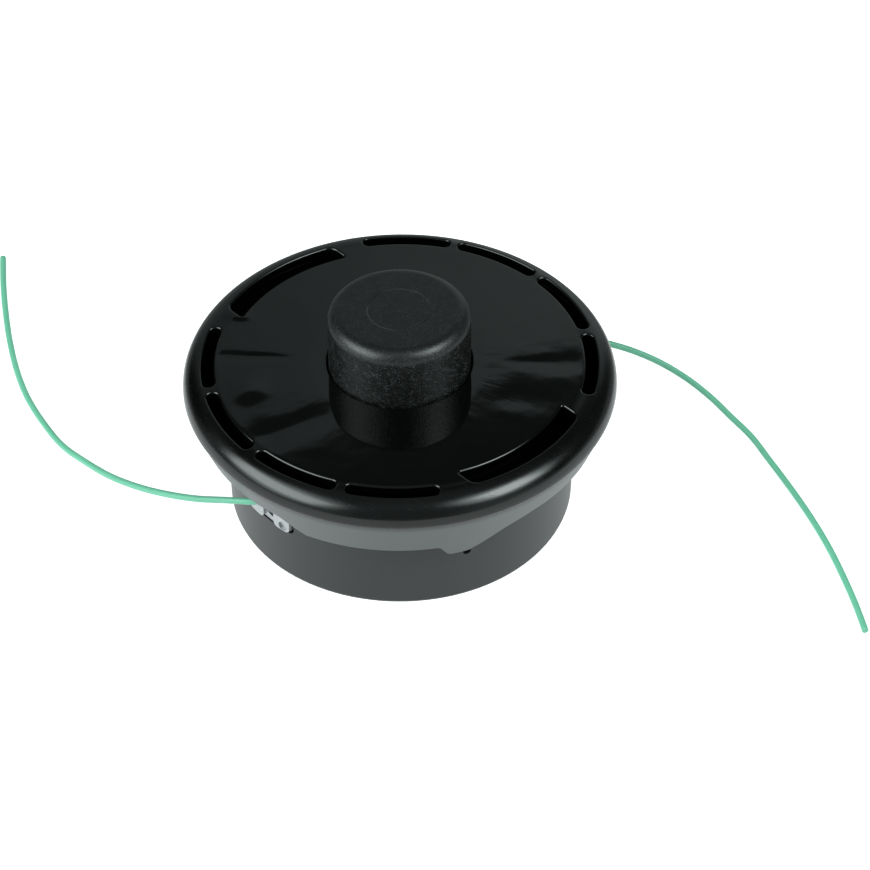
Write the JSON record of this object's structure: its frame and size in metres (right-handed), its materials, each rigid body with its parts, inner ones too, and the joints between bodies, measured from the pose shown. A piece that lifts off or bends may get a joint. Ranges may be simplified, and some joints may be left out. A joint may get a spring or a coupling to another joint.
{
  "type": "trimmer head",
  "caption": "Round bump-feed cutting head for a garden trimmer: ribbed drum with a flared skirt, slotted glossy cover, central knob and line tails from metal eyelets.",
  "frame": {"origin": "centre of the flat gear-side face, on the axis that the head spins about", "axes": "+Z along the spin axis from the gear side to the knob; +X to the right of the picture and +Y away from its camera, with the line outlets at 41 and 221 degrees from +X"},
  "size_m": [0.27, 0.18, 0.0695],
  "materials": {
    "housing_plastic": "satin dark grey moulded plastic",
    "cover_plastic": "glossy black moulded plastic with faint sink ripples",
    "knob_plastic": "finely grained black plastic, slightly scuffed",
    "spool_plastic": "satin black plastic",
    "natural_nylon": "natural nylon",
    "cutting_line": "green nylon line, slightly translucent",
    "light_alloy": "satin light metal",
    "plated_steel": "zinc plated",
    "spring_steel": "drawn spring wire"
  },
  "bodies": {
    "drum": {"housing": "housing_plastic", "drive_insert": "plated_steel", "hub_sleeve": "plated_steel", "catch_ring": "natural_nylon", "spring_cup": "plated_steel", "eyelet_left": "light_alloy", "eyelet_right": "light_alloy", "feed_spring": "spring_steel", "line_tail_left": "cutting_line", "line_tail_right": "cutting_line"},
    "press_carrier": {"thrust_washer": "plated_steel"},
    "spool_and_knob": {"spool": "spool_plastic", "line_coil_lower": "cutting_line", "line_coil_upper": "cutting_line", "bump_knob": "knob_plastic", "knob_screw": "plated_steel", "screw_washer": "plated_steel"},
    "lid": {"cover": "cover_plastic", "index_ring": "natural_nylon"}
  },
  "joints": [
    {"name": "knob_press", "type": "slide", "parent": "drum", "child": "press_carrier", "axis": [0, 0, -1], "range_m": [0, 0.006], "stiffness_N_per_m": 1500, "springref_m": -0.008, "deforming": ["feed_spring"]},
    {"name": "spool_index", "type": "hinge", "parent": "press_carrier", "child": "spool_and_knob", "pos_m": [0, 0, 0], "axis": [0, 0, 1], "range_deg": [0, 30.1]},
    {"name": "cover_turn", "type": "hinge", "parent": "drum", "child": "lid", "pos_m": [0, 0, 0], "axis": [0, 0, 1], "range_deg": [-20, 0]}
  ],
  "couplings": [
    {"joint": "spool_index", "follows": "knob_press", "rad_per_m": 87.266}
  ]
}
